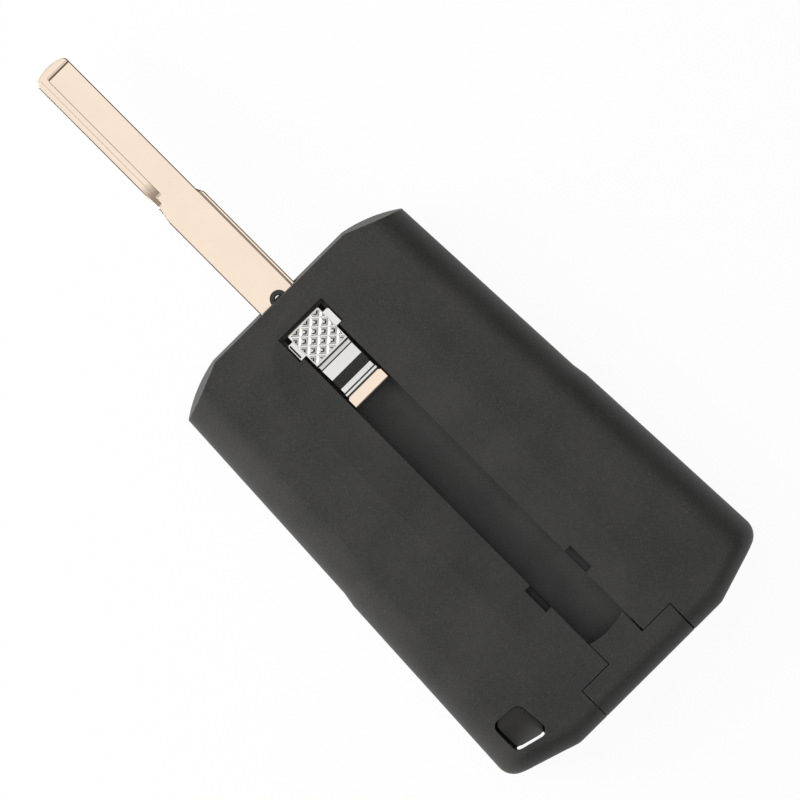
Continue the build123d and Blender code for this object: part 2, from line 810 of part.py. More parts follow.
# Slider saddle: plate under the thumb pad and bridge behind it, riveted to the blade
with BuildPart() as slider_saddle:
    saddle_top = plate_top + saddle_height
    bevel_rear = saddle_front - saddle_bevel_length
    flat_rear = bevel_rear - saddle_flat_length
    slope_rear = flat_rear - saddle_slope_length
    step_rear = slope_rear - saddle_step_length
    slope_height = saddle_top - saddle_slope_drop
    step_height = slope_height - saddle_step_drop
    foot_height = plate_top + saddle_foot_height
    with BuildSketch(Plane.YZ):
        with BuildLine():
            Polyline(
                (saddle_front, blade_top),
                (saddle_front, saddle_top - saddle_bevel),
                (bevel_rear, saddle_top),
                (bevel_rear, saddle_top - saddle_groove),
                (bevel_rear - saddle_groove, saddle_top - saddle_groove),
                (bevel_rear - saddle_groove, saddle_top),
                (flat_rear, saddle_top),
                (slope_rear, slope_height),
                (step_rear, step_height),
                (step_rear, foot_height - saddle_groove),
                (step_rear - saddle_groove, foot_height - saddle_groove),
                (step_rear - saddle_groove, foot_height),
                (saddle_rear, foot_height),
                (saddle_rear, blade_top),
                close=True,
            )
        make_face()
    extrude(amount=saddle_half, both=True)
    rims = slider_saddle.faces().filter_by(Axis.X).edges().filter_by(lambda edge: edge.center().Z > foot_height)
    chamfer(rims.filter_by(lambda edge: edge.length > saddle_bevel_length), saddle_side_bevel)
    with BuildSketch(Plane.XY.offset(blade_top)):
        with Locations((0, pad_front)):
            Rectangle(2 * pad_half, pad_front - saddle_front, align=(Align.CENTER, Align.MAX))
    extrude(amount=plate_thickness)
    with BuildSketch(Plane.XY.offset(plate_top)):
        with Locations(*guide_places):
            Circle(post_radius)
    extrude(amount=post_height)
    with BuildSketch(Plane.XY.offset(plate_top)):
        with Locations((0, saddle_front)):
            tongue_room = tongue_length - saddle_gap + tongue_gap
            Rectangle(2 * (tongue_half + tongue_gap), tongue_room, align=(Align.CENTER, Align.MAX))
    extrude(amount=press_gap + tongue_thickness + lock_rise + spring_air, mode=Mode.SUBTRACT)
    with BuildSketch(Plane.XY.offset(blade_top)):
        with Locations(*rivet_places):
            Circle(rivet_radius)
    extrude(amount=plate_thickness + rivet_rise, mode=Mode.SUBTRACT)

slider_saddle.part.label = "slider_saddle"
export_step(slider_saddle.part, "parts/slider_saddle.step")

# Saddle pins: two countersunk rivets up through the blade into the saddle
with BuildPart() as saddle_pins:
    with BuildSketch(Plane.XY.offset(blade_bottom)):
        with Locations(*rivet_places):
            Circle(rivet_radius)
    extrude(amount=blade_thickness + plate_thickness + rivet_rise)
    with BuildSketch(Plane.XY.offset(blade_bottom)):
        with Locations(*rivet_places):
            Circle(rivet_head_radius)
    extrude(amount=rivet_head_height)

saddle_pins.part.label = "saddle_pins"
export_step(saddle_pins.part, "parts/saddle_pins.step")

# Knurl: slanted rows of blunt pyramids, cut off at the pad's rim
with BuildPart() as knurl:
    rows = range(-knurl_reach, knurl_reach + 1)
    half_x = knurl_step_x * knurl_share
    half_y = knurl_step_y * knurl_share
    spots = [(m * knurl_step_x, n * knurl_step_y) for m in rows for n in rows if (m + n) % 2]
    with BuildSketch(Plane.XY.offset(pad_top)):
        with Locations(*[(knurl_shift + x, pad_middle + y) for x, y in spots]):
            Polygon((half_x, 0), (0, half_y), (-half_x, 0), (0, -half_y))
    extrude(amount=knurl_height, taper=knurl_flank)
    with BuildSketch(Plane.XY.offset(pad_top)):
        with Locations((0, pad_middle)):
            Rectangle(2 * (pad_half - pad_rim), pad_length - 2 * pad_rim)
    extrude(amount=knurl_height, mode=Mode.INTERSECT)

# Lock button: knurled thumb pad with a tab on each side that drops under the slot's edges
with BuildPart() as lock_button:
    with BuildSketch(Plane.XY.offset(pad_bottom)) as pad_outline:
        with Locations((0, pad_middle)):
            Rectangle(2 * pad_half, pad_length)
        chamfer(pad_outline.vertices(), pad_corner)
    extrude(amount=pad_height)
    with BuildSketch(Plane.XY.offset(tab_bottom)) as tab_outline:
        with Locations((0, tab_front)):
            Rectangle(2 * tab_half, tab_length, align=(Align.CENTER, Align.MAX))
        chamfer(tab_outline.vertices().group_by(Axis.Y)[-1], tab_corner)
    extrude(amount=tab_thickness)
    with BuildSketch(Plane.XY.offset(tab_top)):
        with Locations((-tab_slot_x, tab_front - tab_length / 2)):
            Rectangle(tab_slot_width, tab_slot_length)
    extrude(amount=-tab_slot_depth, mode=Mode.SUBTRACT)
    with BuildSketch(Plane.XY.offset(pad_bottom)):
        with Locations((0, pad_rear)):
            Rectangle(2 * tongue_half, 2 * tongue_length)
    extrude(amount=tongue_thickness)
    add(knurl.part)
    with BuildSketch(Plane.XY.offset(pad_bottom)):
        with Locations((0, pad_middle)):
            Rectangle(spring_well_width, spring_well_length)
    extrude(amount=spring_well_depth, mode=Mode.SUBTRACT)
    with BuildSketch(Plane.XY.offset(pad_bottom)):
        with Locations(*guide_places):
            Circle(post_radius + post_gap)
    extrude(amount=post_height, mode=Mode.SUBTRACT)

lock_button.part.label = "lock_button"
export_step(lock_button.part, "parts/lock_button.step")

# Lock spring: bowed leaf between the saddle's plate and the thumb pad
with BuildPart() as lock_spring:
    spring_low = plate_top + spring_air
    spring_high = pad_bottom + spring_well_depth - spring_air
    spring_front = pad_middle + spring_length / 2
    spring_rear = pad_middle - spring_length / 2
    inner_front = spring_front - spring_thickness
    inner_rear = spring_rear + spring_thickness
    inner_high = spring_high - spring_thickness
    with BuildSketch(Plane.YZ):
        with BuildLine():
            ThreePointArc((spring_rear, spring_low), (pad_middle, spring_high), (spring_front, spring_low))
            Line((spring_front, spring_low), (inner_front, spring_low))
            ThreePointArc((inner_front, spring_low), (pad_middle, inner_high), (inner_rear, spring_low))
            Line((inner_rear, spring_low), (spring_rear, spring_low))
        make_face()
    extrude(amount=spring_width / 2, both=True)

lock_spring.part.label = "lock_spring"
export_step(lock_spring.part, "parts/lock_spring.step")

# Three press buttons, from the front
lock_key, unlock_key, boot_key = [press_button(place) for place in button_places]
lock_key.label = "lock_key"
export_step(lock_key, "parts/lock_key.step")
unlock_key.label = "unlock_key"
export_step(unlock_key, "parts/unlock_key.step")
boot_key.label = "boot_key"
export_step(boot_key, "parts/boot_key.step")

# Keypad: rubber mat with a pip over each button
with BuildPart() as keypad:
    with BuildSketch(Plane.XY.offset(keypad_bottom)):
        with Locations(button_places[1]):
            Rectangle(keypad_width, keypad_length)
    extrude(amount=keypad_thickness)
    with BuildSketch(Plane.XY.offset(keypad_top)):
        with Locations(*button_places):
            Circle(pip_radius)
    extrude(amount=pip_height)

keypad.part.label = "keypad"
export_step(keypad.part, "parts/keypad.step")

# Lamp lens: small light guide through the floor, ahead of the buttons
with BuildPart() as lamp_lens:
    with BuildSketch(Plane.XY.offset(lens_recess)):
        with Locations((0, lens_y)):
            Circle(lens_radius)
    extrude(amount=floor_skin - lens_recess)
    with BuildSketch(Plane.XY.offset(floor_skin)):
        with Locations((0, lens_y)):
            Circle(lens_flange_radius)
    extrude(amount=lens_flange_height)

lamp_lens.part.label = "lamp_lens"
export_step(lamp_lens.part, "parts/lamp_lens.step")

# Board tray: frame that clamps the keypad and takes the circuit board
with BuildPart() as board_tray:
    board_tray_y = (board_tray_front - board_tray_rear) / 2
    board_tray_length = board_tray_front + board_tray_rear
    with BuildSketch(Plane.XY.offset(keypad_top)):
        with Locations((0, board_tray_y)):
            Rectangle(2 * board_tray_half, board_tray_length)
    extrude(amount=tray_bottom - board_tray_top_gap - keypad_top)
    with BuildSketch(Plane.XY.offset(web_top)):
        with Locations((0, board_tray_y)):
            inner_half = board_tray_half - board_tray_wall
            Rectangle(2 * inner_half, board_tray_length - 2 * board_tray_wall)
    extrude(amount=case_height, mode=Mode.SUBTRACT)
    with BuildSketch(Plane.XY.offset(keypad_top)):
        with Locations(*button_places):
            Circle(pip_radius + pip_hole_gap)
        with Locations((0, -cell_center_y)):
            Circle(cell_window_radius)
    extrude(amount=board_tray_web, mode=Mode.SUBTRACT)

board_tray.part.label = "board_tray"
export_step(board_tray.part, "parts/board_tray.step")

# Battery contacts, one on each side of the cell
battery_clip_plus = battery_clip(1)
battery_clip_plus.label = "battery_clip_plus"
export_step(battery_clip_plus, "parts/battery_clip_plus.step")
battery_clip_minus = battery_clip(-1)
battery_clip_minus.label = "battery_clip_minus"
export_step(battery_clip_minus, "parts/battery_clip_minus.step")

# Chip cap: box under the skin that holds the key's chip, open below
with BuildPart() as chip_cap:
    with BuildSketch(Plane.XY.offset(skin_under - chip_height)):
        with Locations((-chip_x, chip_y)):
            RectangleRounded(chip_width, chip_length, chip_edge_radius)
    extrude(amount=chip_height)
    with BuildSketch(Plane.XY.offset(skin_under - chip_height)):
        with Locations((-chip_x, chip_y)):
            Rectangle(chip_width - 2 * chip_wall, chip_length - 2 * chip_wall)
    extrude(amount=chip_height - chip_wall, mode=Mode.SUBTRACT)

chip_cap.part.label = "chip_cap"
export_step(chip_cap.part, "parts/chip_cap.step")
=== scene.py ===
import math

import bmesh
import bpy
import numpy as np
from mathutils import Matrix


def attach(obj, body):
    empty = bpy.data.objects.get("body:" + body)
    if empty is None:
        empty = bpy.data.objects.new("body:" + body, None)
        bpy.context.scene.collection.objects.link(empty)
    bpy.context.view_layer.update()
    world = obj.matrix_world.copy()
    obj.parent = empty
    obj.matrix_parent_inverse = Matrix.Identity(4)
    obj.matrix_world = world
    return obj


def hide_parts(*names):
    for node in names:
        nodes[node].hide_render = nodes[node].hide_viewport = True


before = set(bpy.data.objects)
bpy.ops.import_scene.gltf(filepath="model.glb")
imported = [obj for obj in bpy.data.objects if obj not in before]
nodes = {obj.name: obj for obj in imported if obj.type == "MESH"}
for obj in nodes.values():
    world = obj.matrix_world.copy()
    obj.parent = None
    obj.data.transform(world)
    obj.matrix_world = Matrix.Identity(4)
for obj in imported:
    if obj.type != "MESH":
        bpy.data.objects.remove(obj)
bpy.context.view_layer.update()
scene = bpy.context.scene
scene.view_settings.view_transform = "Standard"

# Camera: a long lens almost straight above, turned half a right angle so that the blade points up and left.
# It leans half a degree towards the blade's side, so the front wall of the shell just shows.
camera_target = np.array((0.00213, 0.01613, 0.0105))
picture_width = 0.12167
film_width = 36.0
lens_length = 400.0
lean_angle = math.radians(0.5)
turn_angle = math.radians(-44.85)

to_camera = np.array((0.0, math.sin(lean_angle), math.cos(lean_angle)))
picture_right = np.array((math.cos(turn_angle), math.sin(turn_angle), 0.0))
picture_right -= to_camera * picture_right.dot(to_camera)
picture_right /= np.linalg.norm(picture_right)
picture_up = np.cross(to_camera, picture_right)

camera_data = bpy.data.cameras.new("camera")
camera_data.sensor_width = film_width
camera_data.lens = lens_length
camera_data.clip_start = 0.01
camera_data.clip_end = 20.0
camera = bpy.data.objects.new("camera", camera_data)
scene.collection.objects.link(camera)
camera_place = np.eye(4)
camera_place[:3, 0] = picture_right
camera_place[:3, 1] = picture_up
camera_place[:3, 2] = to_camera
camera_place[:3, 3] = camera_target + to_camera * picture_width * lens_length / film_width
camera.matrix_world = camera_place.T.tolist()
scene.camera = camera


# Floor: a plain white table top, which the camera sees as white with only the shell's own soft shadow on it.
# Its diffuse share takes the shadow, and its glowing share is the even white of the background. It lies a hair under
# the shell's flat side, so that the two faces don't lie in one plane.
class Socket:
    """One value in a finish. Arithmetic on it adds the Math nodes that work it out."""

    def __init__(self, finish, output):
        self.finish = finish
        self.output = output

    def maths(self, operation, *terms):
        return self.finish.add("ShaderNodeMath", {"operation": operation}, *terms)

    def __add__(self, other):
        return self.maths("ADD", self, other)

    def __sub__(self, other):
        return self.maths("SUBTRACT", self, other)

    def __rsub__(self, other):
        return self.maths("SUBTRACT", other, self)

    def __mul__(self, other):
        return self.maths("MULTIPLY", self, other)

    def __truediv__(self, other):
        return self.maths("DIVIDE", self, other)

    def __pow__(self, other):
        return self.maths("POWER", self, other)

    def __abs__(self):
        return self.maths("ABSOLUTE", self)

    __radd__ = __add__
    __rmul__ = __mul__

    def larger(self, other):
        return self.maths("MAXIMUM", self, other)

    def ramp(self, start, end):
        """Rises smoothly from 0 at start to 1 at end."""
        return self.finish.add("ShaderNodeMapRange", {"interpolation_type": "SMOOTHSTEP"}, self, start, end)

    def part(self, name):
        """Another output of the same node, by its name."""
        return Socket(self.finish, self.output.node.outputs[name])


class Finish:
    """A material or a world made of nodes. Its add method places any node and gives its first output."""

    def __init__(self, block):
        block.use_nodes = True
        self.block = block
        self.tree = block.node_tree
        self.tree.nodes.clear()

    def add(self, kind, settings, *values, **named):
        node = self.tree.nodes.new(kind)
        for key, value in settings.items():
            setattr(node, key, value)
        sockets = [s for s in node.inputs if s.enabled]
        for socket, value in zip(sockets, values):
            self.feed(socket, value)
        for name, value in named.items():
            self.feed(node.inputs[name.replace("_", " ")], value)
        return Socket(self, next((s for s in node.outputs if s.enabled), None))

    def feed(self, socket, value):
        if isinstance(value, Socket):
            self.tree.links.new(value.output, socket)
        elif socket.type == "RGBA":
            socket.default_value = (*value, 1.0)
        else:
            socket.default_value = value

    def place(self):
        """Where a point of the piece is, in metres."""
        return self.add("ShaderNodeTexCoord", {}).part("Object")

    def along(self, place):
        """The three coordinates of a place."""
        split = self.add("ShaderNodeSeparateXYZ", {}, place)
        return [split.part(name) for name in "XYZ"]

    def stretched(self, place, scale):
        """The same place with each axis scaled."""
        return self.add("ShaderNodeVectorMath", {"operation": "MULTIPLY"}, place, scale)

    def blend(self, share, first, second):
        """Colour between first and second, by the share of the second."""
        return self.add("ShaderNodeMix", {"data_type": "RGBA"}, share, first, second)

    def noise(self, place, size, detail=2.0):
        """Clouds whose lumps are about size metres across, from 0 to 1."""
        return self.add("ShaderNodeTexNoise", {}, place, Scale=1.0 / size, Detail=detail)

    def relief(self, height, depth, under=None):
        """Fine relief of the surface: height from 0 to 1 stands depth metres up."""
        bump = self.add("ShaderNodeBump", {}, Distance=depth, Height=height)
        if under:
            self.feed(bump.output.node.inputs["Normal"], under)
        return bump

    def soft_edges(self, radius):
        """Normal that turns round the piece's edges as if they were broken by radius."""
        return self.add("ShaderNodeBevel", {"samples": 6}, radius)

    def surface(self, **sockets):
        """Ends the finish with one Principled shader."""
        shader = self.add("ShaderNodeBsdfPrincipled", {}, **sockets)
        self.add("ShaderNodeOutputMaterial", {}, shader)
        return self.block


floor_half = 0.6
floor_drop = 0.00001
floor_glow_share = 0.95
floor_grey = 0.95

floor_corners = [(x * floor_half, y * floor_half, -floor_drop) for x, y in ((-1, -1), (1, -1), (1, 1), (-1, 1))]
floor_mesh = bpy.data.meshes.new("floor")
floor_mesh.from_pydata(floor_corners, [], [(0, 1, 2, 3)])
floor = bpy.data.objects.new("floor", floor_mesh)
scene.collection.objects.link(floor)
floor_finish = Finish(bpy.data.materials.new("floor_white"))
ray = floor_finish.add("ShaderNodeLightPath", {})
seen = ray.part("Is Camera Ray").larger(ray.part("Is Glossy Ray")).larger(ray.part("Is Transmission Ray"))
soft_white = floor_finish.add("ShaderNodeBsdfDiffuse", {}, (floor_grey,) * 3)
glow_white = floor_finish.add("ShaderNodeEmission", {}, (1.0, 1.0, 1.0), 1.0)
floor_mixed = floor_finish.add("ShaderNodeMixShader", {}, seen * floor_glow_share, soft_white, glow_white)
floor_finish.add("ShaderNodeOutputMaterial", {}, floor_mixed)
floor_mesh.materials.append(floor_finish.block)

# Light: a white tent, bright overhead, near the table and ahead of the blade, with a dark band between them.
# One soft box stands low and close to the shell, at the picture's left edge.
overhead = np.array((-0.1, 0.1, 0.99))
overhead_edge = (0.8, 0.9)
table_edge = (0.08, 0.36)
ahead_edge = (0.4, 0.75)
ahead_level = 0.8
rear_reach = 0.35
band_level = 0.03
room_level = 1.0

room_finish = Finish(bpy.data.worlds.new("room"))
looking = room_finish.add("ShaderNodeTexCoord", {}).part("Generated")
overhead /= np.linalg.norm(overhead)
upwards = room_finish.add("ShaderNodeVectorMath", {"operation": "DOT_PRODUCT"}, looking, tuple(overhead)).part("Value")
above = upwards.ramp(*overhead_edge)
across, ahead, height = room_finish.along(looking)
low = 1.0 - (height + rear_reach * ahead).ramp(*table_edge)
beyond = ahead_level * ahead.ramp(*ahead_edge)
tent = room_level * (band_level + (1.0 - band_level) * above.larger(low).larger(beyond))
seen = room_finish.add("ShaderNodeLightPath", {}).part("Is Camera Ray")
glow = room_finish.add("ShaderNodeBackground", {}, (1.0, 1.0, 1.0), tent.larger(seen))
room_finish.add("ShaderNodeOutputWorld", {}, glow)
scene.world = room_finish.block


def soft_box(name, place, target, size, level):
    """Square area lamp at place, facing target, that shines as evenly as paper of the given level."""
    lamp_data = bpy.data.lights.new(name, "AREA")
    lamp_data.shape = "SQUARE"
    lamp_data.size = size
    lamp_data.energy = level * math.pi * size**2
    lamp = bpy.data.objects.new(name, lamp_data)
    scene.collection.objects.link(lamp)
    backwards = np.array(place) - np.array(target)
    backwards /= np.linalg.norm(backwards)
    sideways = np.cross((0.0, 0.0, 1.0), backwards)
    sideways /= np.linalg.norm(sideways)
    turn = np.eye(4)
    turn[:3, 0] = sideways
    turn[:3, 1] = np.cross(backwards, sideways)
    turn[:3, 2] = backwards
    turn[:3, 3] = place
    lamp.matrix_world = turn.T.tolist()


soft_box("left_box", place=(-0.24, 0.24, 0.17), target=(0.0, 0.0, 0.0), size=0.2, level=10.0)


# Covers and end plug: the case of the key, moulded in black plastic with a fine spark-eroded grain.
# The two covers meet at a line round the sides, and the plug closes the rear of the slot.
def give(finish_block, *names):
    """Puts a finish on CAD pieces."""
    for name in names:
        for slot in nodes[name].material_slots:
            slot.material = finish_block


def line(value, middle, half_width, softness):
    """1 where the value is within half_width of the middle, falling to 0 over softness."""
    return 1.0 - abs(value - middle).ramp(half_width, half_width + softness)


cloud_ratio, speck_ratio = 40.0, 0.8
speck_levels, speck_share = (0.62, 0.76), 0.5
shade_levels, shade_range = (0.2, 0.8), 0.5
cloud_dullness, grain_dullness = 0.12, 0.1
mark_mottling = 1.15
plastic_gloss = 0.45


def grained_plastic(name, colour, speck_colour, grain_size, grain_depth, dullness, edge_radius, marks=()):
    """Matte plastic: soft clouds of tone, an even grain with its relief, and sparse light specks.

    Each of the marks is a function that gives the mark's share at a place, and the mark's colour.
    """
    finish = Finish(bpy.data.materials.new(name))
    place = finish.place()
    grain = finish.noise(place, grain_size)
    clouds = finish.noise(place, cloud_ratio * grain_size, detail=3.0)
    specks = finish.noise(place, speck_ratio * grain_size, detail=1.0).ramp(*speck_levels)
    shade = (grain * 0.5 + clouds * 0.5).ramp(*shade_levels)
    dark, light = (tuple(share * c for c in colour) for share in (1.0 - shade_range, 1.0 + shade_range))
    base = finish.blend(specks * speck_share, finish.blend(shade, dark, light), speck_colour)
    for mark, mark_colour in marks:
        mottled = finish.blend(shade, mark_colour, tuple(mark_mottling * c for c in mark_colour))
        base = finish.blend(mark(*finish.along(place)), base, mottled)
    return finish.surface(
        Base_Color=base,
        Roughness=dullness + cloud_dullness * (clouds - 0.5) + grain_dullness * (grain - 0.5),
        Specular_IOR_Level=plastic_gloss,
        Normal=finish.relief(grain, grain_depth, finish.soft_edges(edge_radius)),
    )


case_colour = (0.0285, 0.0277, 0.0258)
case_specks = (0.09, 0.088, 0.082)
# The ring hole's walls and ramp are painted lighter than the case, to lift the shade the deep hole casts on itself:
# painted light.
ring_hole_light_colour = (0.085, 0.083, 0.078)
ring_hole_light_edge = 0.0003
hole_sides = (-0.0235, -0.0166)
hole_ends = (-0.0364, -0.0284)
hole_depth = (0.001, 0.0118)


def ring_hole_painted_light(x, y, z):
    """Painted light inside the ring hole, on its walls and on the ramp that fills it up: a lighter colour that lifts
    the hole's shade.
    """
    spans = ((x, hole_sides), (y, hole_ends), (z, hole_depth))
    insides = [t.ramp(low, low + ring_hole_light_edge) * (1.0 - t.ramp(high - ring_hole_light_edge, high)) for t, (low, high) in spans]
    return insides[0] * insides[1] * insides[2]


# The rear notch is a deep recess, and its floor and walls are painted nearly black: painted shade.
notch_shade_colour = (0.004, 0.004, 0.004)
notch_shade_share = 0.8
notch_shade_edge = 0.0001
notch_shade_top = (0.0119, 0.0122)
notch_side = (0.00435, 0.0006)
notch_rows = (-0.0201, 0.00235)


def notch_painted_shade(x, y, z):
    """Painted shade on the floor and the walls of the rear notch, on both sides of the slot."""
    inside = line(abs(x), *notch_side, notch_shade_edge) * line(y, *notch_rows, notch_shade_edge)
    return notch_shade_share * inside * (1.0 - z.ramp(*notch_shade_top))


case_finish = grained_plastic(
    "case_grain",
    case_colour,
    case_specks,
    grain_size=0.00024,
    grain_depth=0.00003,
    dullness=0.55,
    edge_radius=0.00015,
    marks=((ring_hole_painted_light, ring_hole_light_colour), (notch_painted_shade, notch_shade_colour)),
)
give(case_finish, "back_cover", "front_cover", "end_plug")

# Slide tray, board tray and chip cap: plain mouldings inside the case, in the same black with a finer skin, coloured
# lighter than the case so that the channel floor shows brighter in the shade of the channel's walls: painted light.
# The slide tray is screwed to the back cover and is the floor of the blade's channel, so it shows in the notch.
tray_finish = grained_plastic(
    "tray_grain",
    (0.043, 0.042, 0.04),
    (0.08, 0.078, 0.074),
    grain_size=0.0002,
    grain_depth=0.000006,
    dullness=0.55,
    edge_radius=0.0001,
    marks=((notch_painted_shade, notch_shade_colour),),
)
give(tray_finish, "slide_tray", "board_tray", "chip_cap")

# Press keys: three plain keys on the hidden side, moulded smooth with a satin face.
# They stand in openings of the front cover and rest on the domes of the keypad.
key_finish = grained_plastic(
    "key_satin",
    (0.03, 0.03, 0.031),
    (0.05, 0.05, 0.05),
    grain_size=0.0003,
    grain_depth=0.000003,
    dullness=0.42,
    edge_radius=0.0002,
)
give(key_finish, "lock_key", "unlock_key", "boot_key")

# Keypad and rear bumper: soft black rubber, moulded, with a dull skin.
# The keypad is clamped under the board tray, and the bumper is the stop at the rear end of the channel.
rubber_finish = grained_plastic(
    "rubber_dull",
    (0.025, 0.025, 0.025),
    (0.045, 0.045, 0.044),
    grain_size=0.00035,
    grain_depth=0.000008,
    dullness=0.75,
    edge_radius=0.0002,
)
give(rubber_finish, "keypad", "rear_bumper")


# Key blade: milled from a nickel-plated strip, pale and warm, with faint drawing marks along it. Its edges are tumbled
# flat. The ends of the milled shelves, the foot of the tip's step and the slope of the ledge are painted dark brown:
# painted shade and painted reflection of the dark surroundings.
mark_size, mark_dullness = 0.00012, 0.08
tint_size, tint_levels, tint_dullness = 0.006, (0.3, 0.7), 0.05
shade_dullness = 0.3


def drawn_metal(name, colour, tint, dullness, mark_depth, along, shade_mask=None, shade_colour=(0.02, 0.018, 0.016)):
    """Metal with fine marks that run along one axis, soft clouds of tint, and painted shade, darker and duller, where
    the given mask function says.
    """
    finish = Finish(bpy.data.materials.new(name))
    place = finish.place()
    marks = finish.noise(finish.stretched(place, along), mark_size, detail=3.0)
    clouds = finish.noise(place, tint_size)
    base = finish.blend(clouds.ramp(*tint_levels), colour, tint)
    roughness = dullness + mark_dullness * (marks - 0.5) + tint_dullness * (clouds - 0.5)
    # The mask paints shade into the colour: darker, and duller too.
    if shade_mask:
        share = shade_mask(*finish.along(place))
        base = finish.blend(share, base, shade_colour)
        roughness = roughness + shade_dullness * share
    return finish.surface(
        Base_Color=base, Metallic=1.0, Roughness=roughness, Normal=finish.relief(marks, mark_depth)
    )


blade_shade_colour = (0.11, 0.072, 0.048)
blade_shade_edge = 0.0001
shelf_share, foot_share, slope_share = 0.75, 0.95, 0.7
shelf_top = (0.00968, 0.0098)
shelf_shade_rows = ((-0.00246, (0.06285, 0.0002, 0.003)), (-0.00163, (0.06405, 0.0002, 0.003)))
foot_line = (0.08824, 0.00012, 0.00006)
foot_haze, haze_share = (0.08854, 0.0001, 0.0001), 0.3
foot_side = -0.0016
slope_line = (0.00282, 0.00013, 0.00006)
slope_rows = (0.0485, 0.012, 0.0007)


def blade_painted_shade(x, y, z):
    """Painted brown shade: on each shelf, fading away from its end, along the foot of the tip's step, and on the slope.
    """
    low = 1.0 - z.ramp(*shelf_top)
    first, second = ((1.0 - x.ramp(edge, edge + blade_shade_edge)) * line(y, *rows) for edge, rows in shelf_shade_rows)
    foot = line(y, *foot_line).larger(haze_share * line(y, *foot_haze)) * x.ramp(foot_side, foot_side + blade_shade_edge)
    slope = line(x, *slope_line) * line(y, *slope_rows)
    return (shelf_share * low * first.larger(second)).larger(foot_share * foot).larger(slope_share * slope)


blade_finish = drawn_metal(
    "blade_nickel",
    (0.925, 0.77, 0.625),
    (0.945, 0.79, 0.65),
    dullness=0.17,
    mark_depth=0.0000005,
    along=(1.0, 0.03, 1.0),
    shade_mask=blade_painted_shade,
    shade_colour=blade_shade_colour,
)

# The blade's own measures are in millimetres. The two sides are given row by row, and a break is the flat that the
# tumbling leaves along an edge, as its inset from the side and its drop from the face.
blade_tail, blade_tip = 19.9, 89.846
blade_top, blade_bottom = 9.85, 7.65
side_rows = (19.9, 21.55, 21.85, 34.9, 35.5, 59.65, 59.85, 60.85, 62.25, 89.85)
left_side = (3.57, 3.57, 3.2, 3.2, 3.79, 3.79, 3.79, 3.635, 3.42, 3.42)
right_side = (3.57, 3.57, 3.2, 3.2, 3.42, 3.42, 3.32, 2.81, 2.81, 2.81)
tip_crown = 0.75
tip_radius = 0.9
break_insets = (0.0, 0.03, 0.18)
break_drops = (0.2, 0.075, 0.0)
outer_width, inner_width = 0.96, 1.79
outer_run, inner_run = (62.65, 0.7), (63.85, 0.35)
cutter_radius = 6.0
tip_shelf, tip_depth = 88.25, 0.35
riser_breaks = (0.045, 0.1)
riser_drop = 0.075
ledge_slope = (2.64, 3.0)
ledge_start, ledge_end, ledge_depth = 36.0, 60.85, 0.5
end_steps = (0.08, 0.14)
plain_rows, arc_rows, tip_rows = 40, 12, 28
tip_rows_from, tip_reach, last_turn = 80.0, 1.5, 1.535
hair = 0.001


def arc_length(depth):
    """How far the cutter's arc reaches along the blade before it is at the full depth."""
    return math.sqrt(cutter_radius**2 - (cutter_radius - depth) ** 2)


def run_out(y, start, depth):
    """Depth of a milled shelf: a cutter's arc leads down from its end to the full depth."""
    before_level = np.clip(start + arc_length(depth) - y, 0.0, arc_length(depth))
    rise = cutter_radius - np.sqrt(cutter_radius**2 - before_level**2)
    return np.where(y < start, 0.0, depth - rise)


def tip_half(y, inset):
    """Half width of the rounded tip, drawn in by the inset: side line, corner arc, then the crown's flat arc.

    Each arc's half width at a row is the root of its radius squared less the row's distance from its middle squared.
    """
    half = (left_side[-1] + right_side[-1]) / 2
    crown_radius = (half**2 + tip_crown**2) / (2 * tip_crown) - inset
    crown_middle = blade_tip - inset - crown_radius
    radius = tip_radius - inset
    reach = half - tip_radius
    corner_row = crown_middle + math.sqrt((crown_radius - radius) ** 2 - reach**2)
    meeting_row = crown_middle + (corner_row - crown_middle) * crown_radius / (crown_radius - radius)
    corner = reach + np.sqrt(np.clip(radius**2 - np.clip(y - corner_row, 0.0, None) ** 2, 0.0, None))
    crown = np.sqrt(np.clip(crown_radius**2 - (y - crown_middle) ** 2, 0.0, None))
    return np.where(y < meeting_row, corner, crown)


def blade_face(y, left, right, tip_axis, ledge):
    """One face of the blade, row by row, as x and z from its left side to its right one, z being 0 on the flat.

    Columns follow the edge break, the two shelves with their broken risers, the ledge and the other edge break. A
    point's depth is the largest of the cuts that it lies in. Close to the tip and the tail each column drops as the
    edge break does at that distance.
    """

    def drawn_in(inset):
        width = np.where(y > tip_rows_from, tip_half(y, inset), math.inf)
        return np.maximum(left + inset, tip_axis - width), np.minimum(right - inset, tip_axis + width)

    broken = np.interp(y, (tip_shelf - riser_breaks[1], tip_shelf), (0.0, riser_drop))
    lowered = np.where(y > tip_shelf, tip_depth, broken)
    outer, inner = (np.maximum(lowered, run_out(y, *run)) for run in (outer_run, inner_run))
    cut_left = tip_axis - tip_half(0.0, 0.0)
    ledge_low = np.where((y > ledge_start) & (y < ledge_end) & ledge, ledge_depth, lowered)
    breaks = list(zip(break_insets, break_drops))
    inside = break_insets[-1]
    columns = [(drawn_in(inset)[0], outer + drop, inset) for inset, drop in breaks]
    risers = ((cut_left + outer_width, outer, inner), (cut_left + inner_width, inner, lowered))
    for (edge, low, high), run in zip(risers, riser_breaks):
        columns += [(edge, low, inside), (edge, high + np.minimum(riser_drop, (low - high) / 2), inside)]
        columns += [(edge + run, high, inside)]
    columns += [(ledge_slope[0], lowered, inside), (ledge_slope[1], ledge_low, inside)]
    columns += [(drawn_in(inset)[1], ledge_low + drop, inset) for inset, drop in reversed(breaks)]
    first, last = drawn_in(inside)
    from_end = np.minimum(blade_tip - y, y - blade_tail)
    xs, zs = [], []
    for x, depth, inset in columns:
        own = np.interp(inset, break_insets, break_drops)
        end = np.interp(np.minimum(inset, from_end), break_insets, break_drops)
        xs.append(np.clip(x, first, last) if inset == inside else x)
        zs.append(-depth - np.maximum(end - own, 0.0))
    return np.stack(np.broadcast_arrays(*xs), axis=1), np.stack(np.broadcast_arrays(*zs), axis=1)


